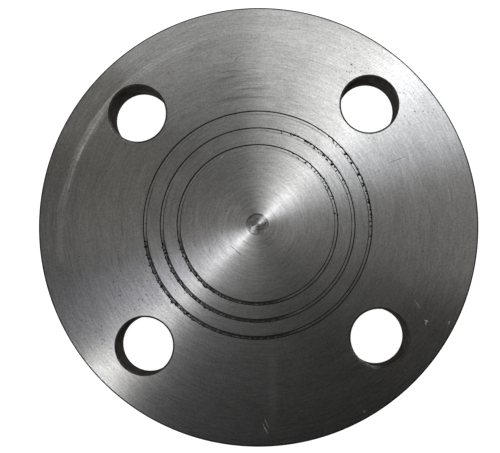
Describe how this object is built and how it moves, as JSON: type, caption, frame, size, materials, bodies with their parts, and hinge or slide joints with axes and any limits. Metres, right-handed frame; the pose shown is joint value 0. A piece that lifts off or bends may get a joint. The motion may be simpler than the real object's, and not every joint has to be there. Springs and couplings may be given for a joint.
{
  "type": "blind flange",
  "caption": "Flat-faced round steel blind flange with bolt holes and ring grooves for a gasket, to close a pipe end.",
  "frame": {"origin": "centre of the flat back face, on the flange's axis, where the plate lies on the floor", "axes": "+Z along the flange's axis, out of the grooved sealing face; the bolt holes straddle X and Y"},
  "size_m": [0.14, 0.14, 0.016],
  "materials": {
    "turned_steel": "bare steel, turned on a lathe, with concentric tool marks and light staining"
  },
  "bodies": {
    "root": {"blind_flange": "turned_steel"}
  },
  "joints": []
}
